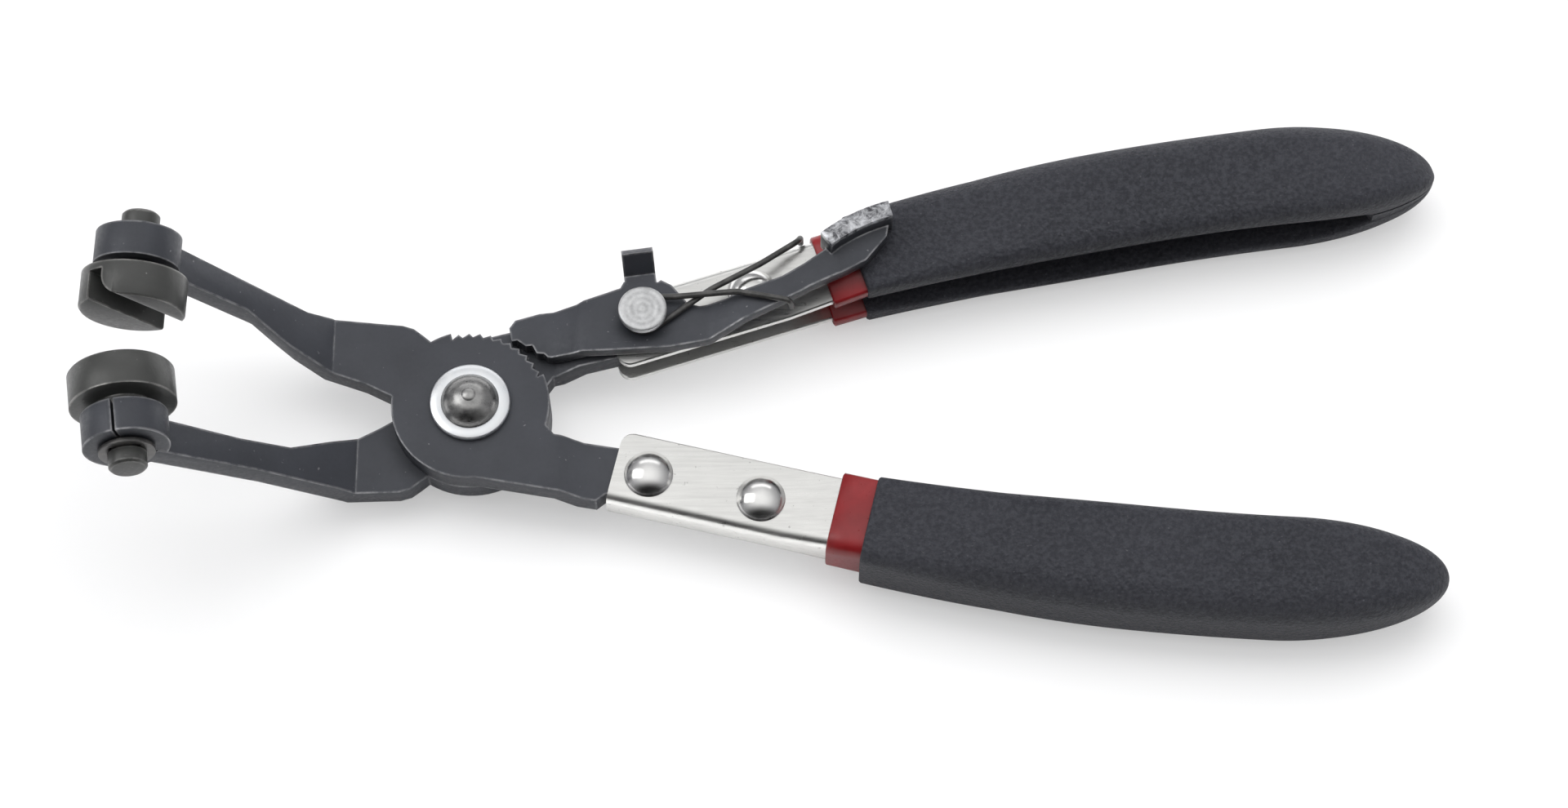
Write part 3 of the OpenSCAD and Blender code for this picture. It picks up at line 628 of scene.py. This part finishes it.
# Grips: the same section as the part, taken finer and with a rounded start.
def grip_half(h, x, inset):
    t, o, i = h.ht(x) - inset, h.out(x) + inset, h.inn(x) - inset
    past = x - GRIP_START
    r = max(0.02, min(5.5, 2.5 + 0.12 * past, t * 0.75, (i - o) * 0.3))
    wall = min(4.2, t * 0.6)
    lip_r = min(wall * 0.80, 1.2 + 0.10 * past)
    rim_r = min(wall - lip_r, 0.7)
    # The open groove on the inner side narrows and ends before the tip.
    u = max(0.0, 1 - (max(0.0, past - 20) / (h.end - GRIP_START - 34)) ** 4)
    v = max(t - wall, 0.2) * (0.35 + 0.65 * sqrt(u))
    f = mix(i - 0.05, o + 4.2, sqrt(u))
    v2 = min(v, t - lip_r - rim_r - 0.02)
    crown = 0.75 * ease(past / 30) * h.cap(x)
    y0, y1 = o + r, i - lip_r
    mid, half = (o + i) / 2, (i - o) / 2

    def top(y):
        return t - crown * ((y - mid) / half) ** 2

    def bend(y, z, rad, angles):
        return [(y + rad * sin(radians(a)), z + rad * cos(radians(a))) for a in angles]

    pts = bend(o + r, top(y0) - r, r, range(-90, 0, 10))
    pts += [(y, top(y)) for y in [y0 + (y1 - y0) * k / 10 for k in range(11)]]
    pts += bend(i - lip_r, top(y1) - lip_r, lip_r, range(15, 91, 15))
    pts += bend(i - rim_r, v2 + rim_r, rim_r, range(90, 181, 30))
    pts += [(mix(i - rim_r, f, 0.1), v2), (mix(i, f, 0.6), v2 * 0.96), (f, v2 * 0.88)]
    return pts


def grip_ring(h, x, inset=0.03):
    half = grip_half(h, x, inset)
    both = half + [(y, -z) for y, z in reversed(half)]
    return [h.at((x, y, z)) for y, z in both]


def grip(h):
    start = GRIP_START + 0.5
    rings = [grip_ring(h, GRIP_START + dx, inset) for dx, inset in ((0.02, 0.5), (0.1, 0.22), (0.45, 0.04))]
    rings += [grip_ring(h, start + (h.cap_at - start) * k / 60) for k in range(1, 61)]
    rings += [grip_ring(h, h.cap_at + (h.end - h.cap_at) * sin(pi / 2 * k / 29.2)) for k in range(1, 29)]
    return loft(rings)


add("upper_grip_grained", grip(UPPER), GRIP, "rear_half", "upper_grip", sharp=62)
add("lower_grip_grained", grip(LOWER), GRIP, "front_half", "lower_grip", sharp=62)


# Lock spring: round wire along the same path, bends rounded.
def smooth_path(pts):
    pts = [Vector(p) for p in pts]
    for _ in range(2):
        new = [pts[0]]
        for a, b in zip(pts, pts[1:]):
            if (b - a).length > 0.9:
                new += [a.lerp(b, 0.45 / (b - a).length), b.lerp(a, 0.45 / (b - a).length)]
            else:
                new += [a.lerp(b, 0.25), a.lerp(b, 0.75)]
        new.append(pts[-1])
        pts = new
    return pts


def tube(path, r):
    rings = []
    prev = None
    for i, p in enumerate(path):
        d = (path[min(i + 1, len(path) - 1)] - path[max(i - 1, 0)]).normalized()
        if prev is None:
            side = d.cross(Vector((0.31, 0.72, 0.62))).normalized()
        else:
            side = (prev - d * prev.dot(d)).normalized()
        prev = side
        up = d.cross(side)
        rings.append([(p + r * (cos(a) * side + sin(a) * up)) * MM for a in turn(16)])
    return loft(rings)


def spring_path():
    """The coil with its fixed arm, and the arm that hooks over the lock lever."""
    coil_r = RIVET_D / 2 + 0.25 + WIRE_D / 2
    low = PAWL_Z + PAWL_T + GAP + WIRE_D / 2
    high = low + WIRE_LIFT
    over = STEP_Z + PAWL_T + GAP + WIRE_D / 2
    wx = GRIP_START - SLEEVE_SHOW - 1.6
    wy = UPPER.ch_out(wx)
    web = UPPER.m @ Vector((wx, wy - GAP - WIRE_D / 2, 0))
    brow = UPPER.m @ Vector((wx - 1, wy + 0.4, 0))
    ex, ey = 56.4, 18.3 - GAP - WIRE_D / 2
    pts = [(web.x, web.y, 2), (web.x, web.y, 4.4), (brow.x, brow.y, FOLD + 2.3)]
    pts += [(51, 25.8, low - 0.2), (42.3, 20.8, low)]
    for i in range(17):
        a = radians(-45 - i * (360 - 45 - 80) / 16)
        pts.append((lock_c.x + coil_r * cos(a), lock_c.y + coil_r * sin(a), low + WIRE_LIFT * i / 16))
    cut = (36, 19.1, high)
    hook = [cut, (47, 19.2, over), (ex - 0.6, ey + 0.2, over)]
    hook += [(ex, ey, over - 0.6), (ex + 0.3, ey, STEP_Z + 0.6)]
    return [[(x, y, z + MID_Z) for x, y, z in part] for part in (pts + [cut], hook)]


coil, hook = [tube(smooth_path(part), WIRE_D / 2) for part in spring_path()]
add("lock_spring_coil", coil, WIRE, "rear_half", "lock_spring", sharp=60)
hook_wire = build("lock_spring_hook", hook[0], hook[1], WIRE, 60)
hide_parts("lock_spring")
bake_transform(hook_wire)

# ---------------------------------------------------------------- stage, light, camera
scene = bpy.context.scene

# Pale paper floor. Its glow is seen by the camera only and lightens the shadows.
floor_m = Mat("paper")
floor_m.set(base=(0.95, 0.95, 0.955), rough=0.9, spec=0.1)
glow = floor_m.n.new("ShaderNodeEmission")
glow.inputs[0].default_value = (1, 1, 1, 1)
glow.inputs[1].default_value = 1.0
f_mix = floor_m.n.new("ShaderNodeMixShader")
f_path = floor_m.n.new("ShaderNodeLightPath")
floor_m.link(floor_m.math("MULTIPLY", f_path.outputs["Is Camera Ray"], 0.42), f_mix.inputs[0])
floor_m.link(floor_m.bsdf.outputs[0], f_mix.inputs[1])
floor_m.link(glow.outputs[0], f_mix.inputs[2])
floor_m.link(f_mix.outputs[0], floor_m.out.inputs[0])
bpy.ops.mesh.primitive_plane_add(size=6, location=(0.05, 0, -0.0002))
floor = bpy.context.object
floor.name = "floor"
floor.data.materials.append(floor_m.mat)

# White to the camera; to everything else a room that is dark low down and light overhead.
world = bpy.data.worlds.new("studio")
scene.world = world
world.use_nodes = True
wt = world.node_tree
wt.nodes.clear()
w_out = wt.nodes.new("ShaderNodeOutputWorld")
w_bg = wt.nodes.new("ShaderNodeBackground")
w_cam = wt.nodes.new("ShaderNodeBackground")
w_cam.inputs[0].default_value = (1, 1, 1, 1)
w_cam.inputs[1].default_value = 1.0
w_co = wt.nodes.new("ShaderNodeTexCoord")
w_sep = wt.nodes.new("ShaderNodeSeparateXYZ")
w_ramp = wt.nodes.new("ShaderNodeValToRGB")
w_ramp.color_ramp.elements[0].position = 0.0
w_ramp.color_ramp.elements[0].color = (0.16, 0.16, 0.17, 1)
w_ramp.color_ramp.elements[1].position = 1.0
w_ramp.color_ramp.elements[1].color = (1, 1, 1, 1)
w_ramp.color_ramp.elements.new(0.55).color = (0.50, 0.50, 0.51, 1)
wt.links.new(w_co.outputs["Generated"], w_sep.inputs[0])
wt.links.new(w_sep.outputs[2], w_ramp.inputs[0])
# The side towards the viewer is dark low down, so bends and domes show a dark band.
w_front = wt.nodes.new("ShaderNodeMapRange")
w_front.interpolation_type = "SMOOTHSTEP"
w_front.inputs["From Min"].default_value = -0.80
w_front.inputs["From Max"].default_value = -0.25
w_front.inputs["To Min"].default_value = 0.02
w_front.inputs["To Max"].default_value = 1.0
wt.links.new(w_sep.outputs[1], w_front.inputs["Value"])
w_tone = wt.nodes.new("ShaderNodeMix")
w_tone.data_type = "RGBA"
w_tone.blend_type = "MULTIPLY"
w_tone.inputs[0].default_value = 1.0
wt.links.new(w_ramp.outputs[0], w_tone.inputs[6])
wt.links.new(w_front.outputs[0], w_tone.inputs[7])
wt.links.new(w_tone.outputs[2], w_bg.inputs[0])
w_bg.inputs[1].default_value = 0.95
lp = wt.nodes.new("ShaderNodeLightPath")
w_mix = wt.nodes.new("ShaderNodeMixShader")
wt.links.new(lp.outputs["Is Camera Ray"], w_mix.inputs[0])
wt.links.new(w_bg.outputs[0], w_mix.inputs[1])
wt.links.new(w_cam.outputs[0], w_mix.inputs[2])
wt.links.new(w_mix.outputs[0], w_out.inputs[0])


def softbox(name, loc, target, size, power):
    light = bpy.data.lights.new(name, "AREA")
    light.shape = "RECTANGLE"
    light.size, light.size_y = size
    light.energy = power
    o = bpy.data.objects.new(name, light)
    o.location = loc
    o.rotation_euler = (Vector(target) - Vector(loc)).to_track_quat("-Z", "Y").to_euler()
    scene.collection.objects.link(o)
    return o


# Only the left box and the rim are seen in shiny surfaces.
for box in (softbox("key", (0.08, 0.45, 1.05), (0.06, 0.0, 0), (1.2, 0.8), 9.0),
            softbox("left", (-0.75, 0.15, 0.75), (0.0, 0.0, 0.02), (0.6, 0.8), 2.4),
            softbox("right", (0.95, -0.05, 0.75), (0.1, 0.0, 0.02), (0.6, 0.8), 2.0)):
    box.visible_glossy = box.name == "left"
softbox("rim", (0.08, 1.1, 0.62), (0.08, 0.0, 0.01), (1.5, 0.3), 1.3)

CAMERA_TILT = radians(22.5)
CAMERA_AWAY = 0.7
CAMERA_AIM = Vector((0.05533, 0.00179, MID_Z * MM))
cam_data = bpy.data.cameras.new("camera")
cam = bpy.data.objects.new("camera", cam_data)
scene.collection.objects.link(cam)
cam_data.sensor_width = 36
cam_data.lens = 90.5
cam_data.clip_start = 0.01
cam_data.clip_end = 20
cam.location = CAMERA_AIM + CAMERA_AWAY * Vector((0, -sin(CAMERA_TILT), cos(CAMERA_TILT)))
cam.rotation_euler = (CAMERA_TILT, 0, 0)
scene.camera = cam
scene.view_settings.view_transform = "Standard"
